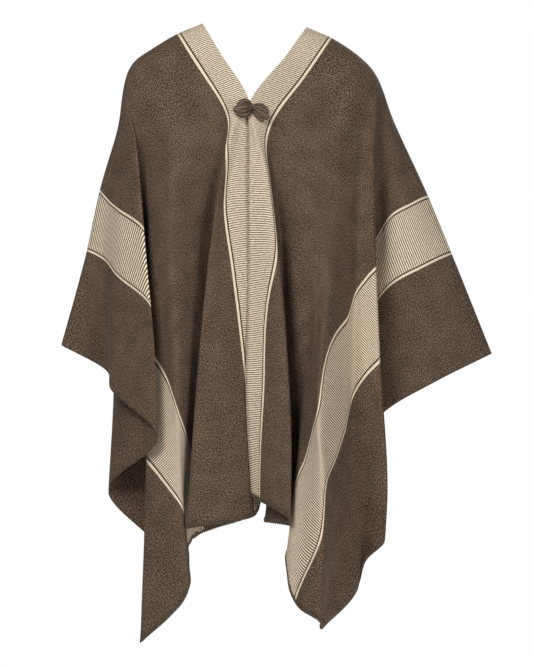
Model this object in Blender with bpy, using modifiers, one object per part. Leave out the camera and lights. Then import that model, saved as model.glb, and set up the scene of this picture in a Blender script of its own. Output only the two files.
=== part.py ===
"""Andean poncho: two loom widths joined down the centre back, open in front, closed by a cloth toggle.

Blender 4.5. Metres, +Z up, the wearer faces -Y. The origin lies on the shoulder line, between the
two points where the neck opening leaves it.

Each loom width is one rectangle of cloth that runs from the front hem over the shoulder to the
back hem. A place in the cloth is (u, v): u is measured across the width from the opening edge, v
down from the shoulder line. The worn cloth hangs in folds that fan out from the shoulder, so each
panel is a loft through its folds: every fold starts on the shoulder line, passes through the
places in its row and ends on the hem or on the selvage. The front and the back folds of a width
start at the same points of the shoulder line, so the two halves of the cloth meet there.
"""

import math
from collections import namedtuple

import bmesh
import bpy
import numpy as np
from mathutils.bvhtree import BVHTree

CM = 0.01

# ---- driving dimensions, cm ----
PANEL_WIDTH = 73.0          # opening edge to selvage
PANEL_DROP = 95.0           # shoulder line to each hem
BACK_NECK_DROP = 23.0       # v at which the centre back seam starts
FAN_END = 26.0              # u where the last fold leaves the shoulder to follow the arm
CLOTH_THICKNESS = 0.25
SEAM_EDGE = 0.04            # x of each seam edge; the tilt of its rim takes up to 0.025 of this
EDGE_COLUMN = 0.06          # the narrow first and last columns, as a part of the space between folds
CORNER_SHARPNESS = 8        # how suddenly the cloth's square corners stop being round
FOLD_ROUNDNESS = 0.6        # 0 is a pointed ridge, 1 a full round one
ROUNDING_START = 0.1        # slope below which a fold is too sharp to be rounded fully
MERGE_DISTANCE = 0.00005    # metres; closes the shoulder line, where front and back places agree

SHOULDER_NUDGE = 0.5        # step along the shoulder line for its direction
STEPS_PER_FOLD = 4          # columns of faces between two neighbouring folds
ROWS = 16                   # rows of faces from the shoulder to the lower edge
ROW_CROWDING = 1.3          # over 1 packs the rows towards the shoulder, where the cloth bends

# Toggle: a knot of rolled cloth on one front edge, held by a loop on the other. Sizes are x, y, z.
KNOT_CENTRE = (-2.25, -16.6)            # x, z
KNOT_SIZE = (3.4, 2.8, 3.6)
KNOT_SWELL = 0.07                       # how far the three turns of the knot bulge
KNOT_TURNS = 3
LOOP_CENTRE = (1.4, -17.1)              # x, z
LOOP_HALF_SIZE = (1.55, 0.85)           # along and across the loop, to the middle of its roll
LOOP_TILT = math.radians(-42)
LOOP_ROLL_RADIUS = 0.45
LOOP_POINTS = 24
SEAT_GAP = 0.06                         # left between the toggle and the cloth behind it
START_IN_FRONT = -30.0                  # y from which the toggle slides back onto the cloth

Fold = namedtuple("Fold", "name start places")

# The shoulder and arm line of each width. Columns: u, x, y, z.
LEFT_SHOULDER = (
    (0.0, 10.0, 0.0, -0.3),
    (5.2, 14.7, 0.3, -2.3),
    (9.6, 18.5, 0.3, -4.7),
    (14.6, 22.1, 0.0, -7.9),
    (26.0, 26.6, 0.0, -18.4),
    (41.0, 32.9, 0.0, -32.1),
    (53.2, 37.6, 0.0, -43.5),
    (73.0, 45.1, 0.0, -62.2),
)
RIGHT_SHOULDER = (
    (0.0, -9.7, 0.0, 0.4),
    (5.8, -15.0, 0.3, -1.8),
    (10.0, -18.8, 0.3, -4.1),
    (15.0, -22.6, 0.0, -6.8),
    (28.3, -25.8, 0.0, -19.7),
    (41.0, -29.1, 0.0, -30.9),
    (53.2, -31.7, 0.0, -42.9),
    (73.0, -36.5, 0.0, -60.6),
)

# Folds, from the opening edge to the arm. Columns of a place: u, v, x, y, z.
LEFT_FRONT = (
    Fold("opening edge", 0.0, (
        (0.0, 10.0, 5.9, -5.5, -6.3),
        (0.0, 21.0, -0.6, -12.8, -15.2),
        (0.0, 30.0, -0.7, -14.0, -21.6),
        (0.0, 60.0, -1.0, -14.8, -52.2),
        (0.0, 76.5, -1.4, -15.5, -68.7),
        (0.0, 95.0, -0.4, -15.1, -88.4),
    )),
    Fold("ridge from the toggle", 1.2, (
        (1.2, 10.0, 6.8, -5.6, -7.0),
        (1.6, 22.0, 0.4, -13.2, -16.7),
        (3.7, 35.0, 2.4, -15.8, -28.6),
        (4.7, 48.5, 4.3, -17.3, -42.8),
        (11.0, 65.0, 5.9, -19.0, -60.5),
        (12.5, 76.5, 6.7, -20.3, -73.0),
        (21.0, 95.0, 6.7, -22.8, -92.5),
    )),
    Fold("valley beside it", 5.0, (
        (6.5, 11.0, 10.4, -6.5, -11.3),
        (7.0, 22.5, 5.1, -12.0, -20.1),
        (13.5, 44.0, 5.2, -11.6, -42.3),
        (19.5, 62.0, 5.3, -11.5, -61.1),
        (31.5, 95.0, 2.3, -12.5, -93.4),
    )),
    Fold("behind the body ridge", 6.0, (
        (7.9, 10.5, 11.6, -7.3, -12.5),
        (10.0, 21.8, 7.3, -12.9, -21.4),
        (17.0, 43.5, 7.8, -14.2, -42.1),
        (24.0, 62.5, 7.9, -14.4, -60.8),
        (37.5, 95.0, 8.0, -14.0, -94.6),
    )),
    Fold("broad body ridge", 7.0, (
        (9.5, 10.0, 12.8, -8.0, -13.7),
        (12.5, 21.5, 9.2, -13.5, -22.5),
        (20.0, 43.0, 10.3, -16.0, -42.0),
        (28.5, 63.0, 10.6, -16.8, -60.5),
        (40.5, 86.0, 7.6, -18.8, -86.0),
        (45.5, 95.0, 6.1, -19.8, -99.8),
    )),
    Fold("body face", 8.7, (
        (12.5, 11.0, 14.3, -8.5, -15.5),
        (15.7, 20.5, 12.2, -13.2, -23.0),
        (24.5, 40.0, 12.7, -16.0, -42.5),
        (33.5, 60.0, 11.3, -19.2, -62.5),
        (41.2, 74.0, 10.3, -21.6, -79.5),
        (53.2, 95.0, 7.7, -23.6, -107.6),
    )),
    Fold("body crease", 10.5, (
        (18.8, 19.5, 15.1, -12.5, -23.9),
        (30.0, 38.0, 14.7, -15.5, -43.9),
        (41.2, 57.0, 12.6, -22.0, -64.2),
        (42.4, 67.0, 12.2, -24.5, -76.3),
        (51.6, 72.5, 12.5, -25.8, -82.7),
        (52.8, 84.0, 12.5, -27.0, -96.0),
        (61.0, 95.0, 11.8, -27.5, -110.4),
    )),
    Fold("front corner", 12.4, (
        (23.0, 18.5, 18.2, -10.5, -26.9),
        (41.2, 44.5, 17.2, -12.8, -55.4),
        (53.0, 62.5, 16.8, -14.6, -75.8),
        (61.0, 75.0, 15.8, -16.5, -91.0),
        (73.0, 95.0, 12.5, -17.0, -113.0),
    )),
    Fold("hollow above the corner", 13.3, (
        (25.0, 16.5, 20.1, -9.0, -26.9),
        (41.2, 38.0, 19.2, -10.3, -50.6),
        (53.0, 54.5, 18.7, -11.2, -70.0),
        (68.0, 74.0, 19.3, -12.0, -97.5),
        (73.0, 81.0, 19.2, -9.5, -106.7),
    )),
    Fold("pleat at the selvage", 14.2, (
        (25.6, 15.0, 21.2, -8.8, -26.2),
        (41.2, 34.5, 20.8, -11.0, -48.3),
        (53.0, 50.0, 21.0, -12.3, -66.4),
        (73.0, 74.5, 20.8, -11.8, -100.9),
    )),
    Fold("outer body ridge", 15.2, (
        (26.2, 13.6, 22.2, -8.5, -25.5),
        (41.2, 31.0, 22.6, -11.5, -46.2),
        (53.0, 45.0, 23.3, -13.3, -63.8),
        (69.0, 63.0, 24.6, -15.0, -90.2),
        (73.0, 68.0, 24.3, -15.5, -96.7),
    )),
    Fold("hollow under the arm", 17.0, (
        (29.5, 11.0, 23.3, -4.5, -26.6),
        (48.0, 26.4, 20.6, -0.5, -53.0),
        (73.0, 48.0, 17.8, 2.0, -83.0),
    )),
    Fold("lower arm front", 20.0, (
        (36.0, 8.4, 26.0, -5.0, -30.2),
        (54.5, 18.0, 25.3, -5.0, -51.5),
        (73.0, 28.0, 24.3, -4.0, -73.5),
    )),
    Fold("upper arm front", 23.0, (
        (40.5, 4.9, 29.5, -4.2, -33.2),
        (58.0, 9.8, 33.0, -5.0, -51.0),
        (73.0, 14.0, 34.2, -4.8, -67.5),
    )),
)
LEFT_BACK = (
    Fold("centre seam", 0.0, (
        (0.0, 11.0, 6.4, 5.5, -6.6),
        (0.0, 23.0, 0.0, 10.5, -16.8),
        (0.0, 50.0, 0.0, 12.5, -43.5),
        (0.0, 95.0, 0.0, 13.0, -88.0),
    )),
    Fold("ridge beside the seam", 1.2, (
        (2.2, 11.0, 8.2, 6.2, -7.6),
        (4.2, 24.0, 4.0, 11.5, -19.5),
        (6.0, 50.0, 4.8, 15.5, -45.0),
        (9.0, 95.0, 5.0, 20.0, -88.5),
    )),
    Fold("inner hollow", 5.0, (
        (7.0, 12.0, 12.0, 7.0, -10.5),
        (10.0, 24.0, 9.0, 12.0, -20.5),
        (13.0, 50.0, 8.4, 12.5, -45.5),
        (18.0, 95.0, 7.4, 11.5, -89.0),
    )),
    Fold("side of the inner hollow", 6.0, (
        (8.7, 12.0, 13.1, 7.5, -11.7),
        (12.7, 24.0, 11.0, 12.5, -22.0),
        (16.5, 50.0, 10.2, 15.5, -46.7),
        (22.7, 95.0, 8.9, 16.5, -90.0),
    )),
    Fold("middle ridge", 7.0, (
        (10.5, 12.0, 14.3, 8.0, -13.0),
        (15.5, 24.0, 13.0, 13.0, -23.5),
        (20.0, 50.0, 12.0, 18.5, -48.0),
        (27.5, 95.0, 10.4, 21.5, -91.0),
    )),
    Fold("middle hollow", 8.7, (
        (14.5, 13.0, 16.4, 8.6, -15.5),
        (20.5, 25.0, 16.4, 12.5, -27.0),
        (27.0, 50.0, 15.2, 13.0, -51.0),
        (37.5, 95.0, 12.4, 11.5, -94.0),
    )),
    Fold("outer ridge", 10.5, (
        (18.5, 13.5, 18.2, 8.8, -18.0),
        (26.0, 28.0, 18.6, 13.0, -31.5),
        (35.5, 54.0, 18.0, 18.5, -57.5),
        (48.0, 95.0, 14.4, 21.5, -99.0),
    )),
    Fold("outer hollow", 12.4, (
        (23.5, 14.0, 20.0, 8.6, -21.5),
        (34.0, 33.0, 20.4, 11.0, -40.0),
        (45.0, 59.0, 19.6, 12.0, -67.0),
        (60.0, 95.0, 15.8, 10.5, -103.5),
    )),
    Fold("back corner", 13.3, (
        (25.5, 15.0, 21.2, 8.4, -24.5),
        (43.0, 45.0, 21.8, 13.0, -56.0),
        (58.0, 69.0, 20.8, 17.0, -81.0),
        (73.0, 95.0, 16.8, 19.0, -108.0),
    )),
    Fold("side of the corner", 14.2, (
        (26.2, 14.0, 21.8, 8.0, -25.0),
        (43.0, 40.5, 21.9, 10.7, -53.5),
        (58.0, 62.0, 21.0, 12.0, -77.5),
        (73.0, 86.0, 17.8, 12.8, -102.0),
    )),
    Fold("hollow above the corner", 15.2, (
        (27.0, 13.0, 22.3, 7.6, -25.5),
        (43.0, 36.0, 22.0, 8.5, -51.0),
        (58.0, 55.0, 21.2, 7.0, -74.0),
        (73.0, 77.0, 18.8, 6.5, -96.0),
    )),
    Fold("ridge under the arm", 17.0, (
        (30.0, 11.0, 23.8, 7.0, -27.0),
        (46.0, 26.0, 24.8, 10.5, -48.5),
        (60.0, 40.0, 24.4, 12.0, -67.0),
        (73.0, 55.0, 22.8, 12.5, -84.0),
    )),
    Fold("lower arm back", 20.0, (
        (36.0, 7.6, 26.4, 4.6, -30.0),
        (54.0, 17.5, 26.4, 5.5, -51.5),
        (73.0, 30.0, 24.8, 5.0, -73.5),
    )),
    Fold("upper arm back", 23.0, (
        (40.5, 4.5, 29.7, 3.9, -33.0),
        (58.0, 9.6, 33.0, 5.0, -51.0),
        (73.0, 14.0, 34.2, 5.0, -67.0),
    )),
)
RIGHT_FRONT = (
    Fold("opening edge", 0.0, (
        (0.0, 10.0, -6.2, -5.5, -5.8),
        (0.0, 21.0, -1.0, -12.0, -14.7),
        (0.0, 29.0, 0.0, -12.5, -21.4),
        (0.0, 43.0, 0.4, -13.3, -35.5),
        (0.0, 61.0, 2.3, -12.8, -54.0),
        (0.0, 80.0, 2.2, -10.9, -74.0),
        (0.0, 95.0, 1.1, -9.5, -90.1),
    )),
    Fold("edge of the inner band", 1.4, (
        (1.2, 10.0, -6.9, -5.7, -6.2),
        (1.6, 21.0, -2.2, -12.4, -15.8),
        (2.8, 28.5, -2.9, -13.4, -22.8),
        (4.8, 41.0, -5.2, -14.8, -35.2),
        (5.2, 52.0, -4.1, -15.2, -46.5),
        (5.3, 66.0, -2.4, -15.1, -61.0),
        (5.5, 79.0, -1.0, -14.8, -74.5),
        (5.6, 95.0, 0.0, -14.2, -92.2),
    )),
    Fold("ridge from the toggle", 2.9, (
        (2.4, 10.0, -7.6, -5.9, -6.8),
        (3.2, 21.0, -3.6, -12.8, -17.0),
        (5.0, 28.0, -5.1, -14.5, -24.0),
        (9.6, 43.5, -7.7, -16.2, -40.8),
        (14.0, 61.0, -9.7, -17.6, -59.6),
        (20.5, 95.0, -12.2, -19.5, -94.1),
    )),
    Fold("valley beside it", 5.0, (
        (6.0, 10.5, -10.5, -6.5, -10.0),
        (7.6, 21.0, -6.6, -11.2, -18.6),
        (16.0, 42.0, -7.2, -11.0, -39.5),
        (23.5, 62.0, -5.9, -9.5, -60.5),
        (33.0, 95.0, -2.6, -8.0, -93.4),
    )),
    Fold("turn behind the middle", 6.5, (
        (12.5, 20.0, -10.9, -12.3, -20.6),
        (22.0, 42.5, -10.9, -13.3, -42.5),
        (31.5, 64.0, -9.9, -13.0, -66.0),
        (42.0, 95.0, -9.9, -8.5, -95.8),
    )),
    Fold("broad body ridge", 8.0, (
        (17.0, 19.0, -14.8, -13.0, -22.4),
        (28.0, 43.0, -14.7, -16.0, -45.7),
        (39.6, 66.5, -13.4, -17.5, -71.6),
        (53.2, 95.0, -12.1, -14.5, -97.8),
    )),
    Fold("hem ridge", 10.8, (
        (21.0, 18.5, -17.4, -11.5, -25.2),
        (36.5, 48.0, -16.8, -14.5, -56.5),
        (49.5, 72.0, -14.6, -17.5, -82.7),
        (63.0, 95.0, -12.1, -19.5, -105.9),
    )),
    Fold("front corner", 12.9, (
        (24.5, 17.5, -19.6, -9.2, -26.9),
        (41.0, 48.0, -19.5, -11.5, -60.7),
        (57.0, 73.0, -20.0, -13.0, -88.5),
        (73.0, 95.0, -21.0, -13.0, -115.9),
    )),
    Fold("hollow behind the corner", 13.8, (
        (27.0, 15.0, -20.7, -8.0, -26.6),
        (45.0, 40.0, -18.0, -7.5, -55.9),
        (60.0, 58.0, -17.1, -6.5, -80.3),
        (73.0, 73.0, -16.7, -6.0, -101.0),
    )),
    Fold("hollow under the arm", 15.0, (
        (29.0, 12.5, -22.3, -7.4, -25.9),
        (46.0, 31.0, -25.7, -3.5, -54.0),
        (60.0, 45.0, -26.4, -3.0, -73.8),
        (73.0, 57.0, -27.4, -3.0, -88.7),
    )),
    Fold("arm front edge", 17.0, (
        (31.0, 9.8, -21.8, -9.6, -24.6),
        (46.0, 20.5, -19.8, -15.0, -45.6),
        (60.0, 30.0, -18.3, -17.5, -61.3),
        (73.0, 39.0, -17.7, -18.5, -77.3),
    )),
    Fold("sleeve ridge", 20.0, (
        (36.0, 6.5, -25.1, -6.5, -29.5),
        (54.0, 13.5, -25.8, -8.5, -48.4),
        (73.0, 21.0, -26.5, -10.0, -69.0),
    )),
    Fold("sleeve hollow", 23.0, (
        (40.0, 3.6, -27.2, -3.4, -32.2),
        (57.0, 7.2, -28.5, -3.0, -48.3),
        (73.0, 10.5, -28.0, -1.5, -65.3),
    )),
)
RIGHT_BACK = (
    Fold("centre seam", 0.0, (
        (0.0, 11.0, -6.2, 5.5, -6.2),
        (0.0, 23.0, 0.0, 10.5, -16.8),
        (0.0, 50.0, 0.0, 12.5, -43.5),
        (0.0, 95.0, 0.0, 13.0, -88.0),
    )),
    Fold("rise from the seam", 1.4, (
        (1.1, 11.0, -7.1, 5.8, -6.7),
        (2.1, 23.5, -1.9, 11.0, -18.1),
        (3.2, 50.0, -2.4, 14.1, -44.2),
        (4.7, 95.0, -2.6, 16.8, -88.2),
    )),
    Fold("ridge beside the seam", 2.9, (
        (2.4, 11.0, -8.0, 6.2, -7.2),
        (4.4, 24.0, -4.0, 11.5, -19.5),
        (6.5, 50.0, -4.8, 15.5, -45.0),
        (9.5, 95.0, -5.2, 20.0, -88.5),
    )),
    Fold("inner hollow", 5.0, (
        (8.0, 12.0, -12.0, 7.0, -10.0),
        (11.0, 24.0, -9.5, 12.0, -21.0),
        (15.0, 50.0, -9.2, 12.5, -46.0),
        (20.5, 95.0, -8.2, 11.0, -89.5),
    )),
    Fold("side of the inner hollow", 6.5, (
        (10.2, 12.2, -13.6, 7.5, -11.2),
        (14.5, 24.5, -12.0, 12.5, -23.0),
        (19.8, 50.5, -11.4, 15.8, -48.0),
        (26.5, 95.0, -9.9, 16.8, -91.2),
    )),
    Fold("middle ridge", 8.0, (
        (12.5, 12.5, -15.2, 8.0, -12.5),
        (18.0, 25.0, -14.6, 13.0, -25.0),
        (24.5, 51.0, -13.6, 19.0, -50.0),
        (32.5, 95.0, -11.6, 22.5, -93.0),
    )),
    Fold("middle hollow", 10.8, (
        (17.5, 13.5, -18.2, 8.8, -17.0),
        (25.5, 28.0, -18.4, 12.0, -31.0),
        (34.5, 54.0, -17.4, 12.0, -57.0),
        (46.0, 95.0, -14.6, 10.5, -99.0),
    )),
    Fold("outer ridge", 12.9, (
        (22.5, 14.0, -20.4, 9.0, -21.5),
        (34.0, 34.0, -20.6, 14.5, -42.0),
        (45.5, 60.0, -19.8, 18.5, -69.0),
        (59.5, 95.0, -16.8, 22.0, -104.0),
    )),
    Fold("back corner", 13.8, (
        (25.5, 14.5, -21.6, 8.4, -25.0),
        (43.0, 44.0, -22.4, 9.5, -56.0),
        (58.0, 68.0, -21.4, 11.0, -82.0),
        (73.0, 95.0, -18.0, 12.0, -110.0),
    )),
    Fold("ridge above the corner", 15.0, (
        (27.5, 12.5, -22.8, 7.6, -25.8),
        (43.0, 35.0, -23.6, 12.0, -51.0),
        (58.0, 54.0, -23.4, 16.0, -74.0),
        (73.0, 77.0, -20.6, 19.5, -97.0),
    )),
    Fold("hollow under the arm", 17.0, (
        (30.5, 10.5, -23.8, 6.2, -27.0),
        (46.0, 25.0, -25.0, 6.5, -48.0),
        (60.0, 40.0, -25.0, 6.0, -67.0),
        (73.0, 55.0, -23.6, 5.5, -84.5),
    )),
    Fold("lower arm back", 20.0, (
        (36.0, 7.4, -25.2, 5.4, -29.8),
        (54.0, 17.0, -26.4, 9.5, -50.0),
        (73.0, 31.0, -26.3, 11.5, -70.8),
    )),
    Fold("upper arm back", 23.0, (
        (40.5, 4.2, -27.2, 3.8, -32.5),
        (57.0, 9.2, -29.6, 6.0, -49.0),
        (73.0, 15.0, -29.5, 6.5, -63.2),
    )),
)


def smooth_tangents(knots, points):
    """Slopes of a smooth curve through the points, one-sided at its ends."""
    spans = np.diff(knots)[:, None]
    chords = np.diff(points, axis=0) / spans
    inner = (chords[:-1] * spans[1:] + chords[1:] * spans[:-1]) / (spans[:-1] + spans[1:])
    return np.vstack([chords[:1], inner, chords[-1:]])


def follow(knots, points, leaving, arriving, where):
    """Places on a curve through the points, with its slopes just after and just before each one."""
    piece = np.clip(np.searchsorted(knots, where, side="right") - 1, 0, len(knots) - 2)
    span = (knots[piece + 1] - knots[piece])[:, None]
    s = (where - knots[piece])[:, None] / span
    ease = s * s * (3 - 2 * s)
    return (points[piece] * (1 - ease) + points[piece + 1] * ease
            + leaving[piece] * span * s * (1 - s) ** 2
            - arriving[piece + 1] * span * s * s * (1 - s))


def on_shoulder(shoulder, u):
    """Places (x, y, z) on the shoulder and arm line at the distances u along it."""
    table = np.array(shoulder)
    slopes = smooth_tangents(table[:, 0], table[:, 1:])
    return follow(table[:, 0], table[:, 1:], slopes, slopes, np.asarray(u))


def hang_fold(fold, shoulder, forward, rows):
    """One fold from the shoulder to the lower edge: rows of (u, v, x, y, z)."""
    start = on_shoulder(shoulder, [fold.start])[0]
    points = np.vstack([[fold.start, 0.0, *start], fold.places])
    steps = np.hypot(*np.diff(points[:, :2], axis=0).T)
    knots = np.concatenate([[0.0], np.cumsum(steps)])
    tangents = smooth_tangents(knots, points)
    across, down = (points[1, :2] - points[0, :2]) / steps[0]
    along = (on_shoulder(shoulder, [fold.start + SHOULDER_NUDGE])[0] - start) / SHOULDER_NUDGE
    level = np.array([0.0, -1.0 if forward else 1.0, 0.0])
    tangents[0] = [across, down, *(across * along + down * level)]
    return follow(knots, points, tangents, tangents, knots[-1] * rows)


def follow_arm(shoulder, rows):
    """The fold that front and back share: it runs along the arm line to the selvage."""
    u = FAN_END + (PANEL_WIDTH - FAN_END) * rows
    return np.column_stack([u, np.zeros_like(u), on_shoulder(shoulder, u)])


def across_folds(row, down, corners, seam_flat):
    """The cloth along one row of places, from the front edge round to the back edge."""
    steps = np.maximum(np.linalg.norm(np.diff(row[:, 2:], axis=0), axis=1), 0.01)
    knots = np.concatenate([[0.0], np.cumsum(steps)])
    slopes = smooth_tangents(knots, row)
    chords = np.diff(row, axis=0) / steps[:, None]
    slopes[1:-1, 2:] = (chords[:-1, 2:] + chords[1:, 2:]) / 2
    speeds = np.linalg.norm(slopes[:, 2:], axis=1, keepdims=True)
    slopes[:, 2:] *= np.maximum(1.0, FOLD_ROUNDNESS / (speeds + ROUNDING_START))
    slopes[-1, 3:] *= 1.0 - seam_flat
    leaving, arriving = slopes.copy(), slopes.copy()
    sharp = down ** CORNER_SHARPNESS
    for corner in corners:
        leaving[corner] += sharp * (chords[corner] - slopes[corner])
        arriving[corner] += sharp * (chords[corner - 1] - slopes[corner])
    columns = len(row)
    where = np.linspace(0, columns - 1, (columns - 1) * STEPS_PER_FOLD + 1)
    where = np.insert(where, (1, -1), (EDGE_COLUMN, columns - 1 - EDGE_COLUMN))
    return follow(knots, row, leaving, arriving, np.interp(where, np.arange(columns), knots))


def drape(front, back, shoulder, side):
    """Grid [row, column] of (u, v, x, y, z) over one width, from its front edge round to its back edge."""
    rows = np.linspace(0.0, 1.0, ROWS + 1) ** ROW_CROWDING
    folds = [hang_fold(fold, shoulder, True, rows) for fold in front]
    folds.append(follow_arm(shoulder, rows))
    folds += [hang_fold(fold, shoulder, False, rows) for fold in reversed(back)]
    at_corner = [PANEL_WIDTH == u and PANEL_DROP == v for u, v in ((f[-1, 0], f[-1, 1]) for f in folds)]
    corners = np.flatnonzero(at_corner)
    grid = np.stack(folds, axis=1)
    grid[:, -1, 2] = side * np.maximum(side * grid[:, -1, 2], SEAM_EDGE)
    seam_flat = np.clip(grid[:, -1, 1] / BACK_NECK_DROP, 0.0, 1.0)
    return np.array([across_folds(row, down, corners, flat)
                     for row, down, flat in zip(grid, rows, seam_flat)])


def material(name, colour, roughness):
    """A plain cloth material."""
    made = bpy.data.materials.new(name)
    made.use_nodes = True
    shader = made.node_tree.nodes["Principled BSDF"]
    shader.inputs["Base Color"].default_value = (*colour, 1.0)
    shader.inputs["Roughness"].default_value = roughness
    shader.inputs["Metallic"].default_value = 0.0
    made.diffuse_color = (*colour, 1.0)
    return made


def place(name, bm, surface, collection):
    """Turn the bmesh into a named object in the collection."""
    mesh = bpy.data.meshes.new(name)
    bm.to_mesh(mesh)
    bm.free()
    mesh.materials.append(surface)
    mesh.shade_smooth()
    made = bpy.data.objects.new(name, mesh)
    collection.objects.link(made)
    return made


def make_panel(name, grid, surface, collection):
    """One loom width as a single wall of cloth, its shoulder line closed between front and back."""
    bm = bmesh.new()
    verts = [[bm.verts.new(place_in_cloth[2:] * CM) for place_in_cloth in row] for row in grid]
    for upper, lower in zip(verts, verts[1:]):
        for a, b, c, d in zip(upper, upper[1:], lower[1:], lower):
            bm.faces.new((a, b, c, d))
    bmesh.ops.remove_doubles(bm, verts=bm.verts, dist=MERGE_DISTANCE)
    bmesh.ops.recalc_face_normals(bm, faces=bm.faces)
    panel = place(name, bm, surface, collection)
    wall = panel.modifiers.new("cloth thickness", "SOLIDIFY")
    wall.thickness = CLOTH_THICKNESS * CM
    wall.offset = 0.0
    wall.solidify_mode = "NON_MANIFOLD"
    wall.nonmanifold_thickness_mode = "FIXED"
    return panel


def make_button(surface, collection):
    """The knot of rolled cloth, a ball with a soft swelling for each turn."""
    bm = bmesh.new()
    bmesh.ops.create_uvsphere(bm, u_segments=18, v_segments=12, radius=0.5)
    for vert in bm.verts:
        turn = math.atan2(vert.co.z, vert.co.x)
        swell = 1 + KNOT_SWELL * math.cos(KNOT_TURNS * turn)
        width, depth, height = KNOT_SIZE
        vert.co = (
            (KNOT_CENTRE[0] + vert.co.x * width * swell) * CM,
            (START_IN_FRONT + vert.co.y * depth) * CM,
            (KNOT_CENTRE[1] + vert.co.z * height * swell) * CM,
        )
    return place("toggle_button", bm, surface, collection)


def make_loop(surface, collection):
    """The loop of rolled cloth beside the knot, a closed oval cord."""
    outline = bpy.data.curves.new("toggle_loop", "CURVE")
    outline.dimensions = "3D"
    outline.bevel_depth = LOOP_ROLL_RADIUS * CM
    outline.bevel_resolution = 2
    spline = outline.splines.new("POLY")
    spline.points.add(LOOP_POINTS - 1)
    spline.use_cyclic_u = True
    for index, point in enumerate(spline.points):
        turn = 2 * math.pi * index / LOOP_POINTS
        along = LOOP_HALF_SIZE[0] * math.cos(turn)
        across = LOOP_HALF_SIZE[1] * math.sin(turn)
        x = LOOP_CENTRE[0] + along * math.cos(LOOP_TILT) - across * math.sin(LOOP_TILT)
        z = LOOP_CENTRE[1] + along * math.sin(LOOP_TILT) + across * math.cos(LOOP_TILT)
        point.co = (x * CM, START_IN_FRONT * CM, z * CM, 1.0)
    outline.materials.append(surface)
    loop = bpy.data.objects.new("toggle_loop", outline)
    collection.objects.link(loop)
    return loop


def seat_on_cloth(piece, panels):
    """Slide a piece that lies in front of the cloth back along Y until it nearly touches it."""
    depsgraph = bpy.context.evaluated_depsgraph_get()
    walls = [BVHTree.FromObject(panel, depsgraph) for panel in panels]
    shape = piece.evaluated_get(depsgraph).to_mesh()
    straight_back = (0.0, 1.0, 0.0)
    hits = [(wall.ray_cast(vert.co, straight_back)[0], vert.co) for vert in shape.vertices for wall in walls]
    room = min(hit.y - start.y for hit, start in hits if hit is not None)
    piece.location.y = room - SEAT_GAP * CM


def build():
    for old in list(bpy.data.objects):
        bpy.data.objects.remove(old)
    collection = bpy.data.collections.new("andean_poncho")
    bpy.context.scene.collection.children.link(collection)
    wool = material("brown_wool", (0.115, 0.078, 0.055), 0.95)
    rolled = material("rolled_brown_wool", (0.085, 0.055, 0.038), 0.95)

    left = drape(LEFT_FRONT, LEFT_BACK, LEFT_SHOULDER, 1)
    right = drape(RIGHT_FRONT, RIGHT_BACK, RIGHT_SHOULDER, -1)
    panels = (
        make_panel("left_panel", left, wool, collection),
        make_panel("right_panel", right, wool, collection),
    )
    seat_on_cloth(make_button(rolled, collection), panels)
    seat_on_cloth(make_loop(rolled, collection), panels)


build()
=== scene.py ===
"""Andean poncho: the looks of two handwoven lengths, their hem stitches, seam and cloth toggle.

Everything lies in the frame of the CAD model: metres, +Z up, the wearer faces -Y, and the origin on
the shoulder line between the two points where the neck opening leaves it. A place in the cloth is
(u, v): u is measured across a length from its opening edge, v down from the shoulder line. Sizes in
the tables are centimetres.
"""

import math
from collections import namedtuple

import bmesh
import bpy
import numpy as np
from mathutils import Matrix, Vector


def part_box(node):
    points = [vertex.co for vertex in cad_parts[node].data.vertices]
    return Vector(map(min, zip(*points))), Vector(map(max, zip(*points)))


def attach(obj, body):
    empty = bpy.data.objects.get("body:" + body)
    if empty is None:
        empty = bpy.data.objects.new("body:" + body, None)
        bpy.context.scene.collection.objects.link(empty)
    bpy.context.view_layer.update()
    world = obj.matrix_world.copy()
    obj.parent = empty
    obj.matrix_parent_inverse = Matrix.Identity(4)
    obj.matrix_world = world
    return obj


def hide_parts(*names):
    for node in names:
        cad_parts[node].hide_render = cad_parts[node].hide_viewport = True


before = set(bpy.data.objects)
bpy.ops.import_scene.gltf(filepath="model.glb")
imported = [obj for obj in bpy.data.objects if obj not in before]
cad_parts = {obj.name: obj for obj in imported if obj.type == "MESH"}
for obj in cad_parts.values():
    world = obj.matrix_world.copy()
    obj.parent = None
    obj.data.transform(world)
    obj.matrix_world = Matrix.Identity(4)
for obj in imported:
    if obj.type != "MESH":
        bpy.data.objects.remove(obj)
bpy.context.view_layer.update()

CM = 0.01

# ---- the cloth, cm ----
PANEL_WIDTH = 73.0          # opening edge to selvage
PANEL_DROP = 95.0           # shoulder line to each hem
BACK_NECK_DROP = 23.0       # v at which the centre back seam starts
FAN_END = 26.0              # u where the last fold leaves the shoulder to follow the arm
CLOTH_THICKNESS = 0.22
SEAM_EDGE = 0.04            # x of each seam edge
CORNER_SHARPNESS = 8        # how suddenly the cloth's square corners stop being round
FOLD_ROUNDNESS = 0.6        # 0 is a pointed ridge, 1 a full round one
ROUNDING_START = 0.1        # slope below which a fold is too sharp to be rounded fully
SHOULDER_NUDGE = 0.5        # step along the shoulder line for its direction
STEPS_PER_FOLD = 12         # columns of faces between two neighbouring folds
ROWS = 120                  # rows of faces from the shoulder to the lower edge
ROW_CROWDING = 1.3          # over 1 packs the rows towards the shoulder, where the cloth bends
MERGE_DISTANCE = 0.00005    # metres; closes the shoulder line, where front and back places agree

Fold = namedtuple("Fold", "name start places")

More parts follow.
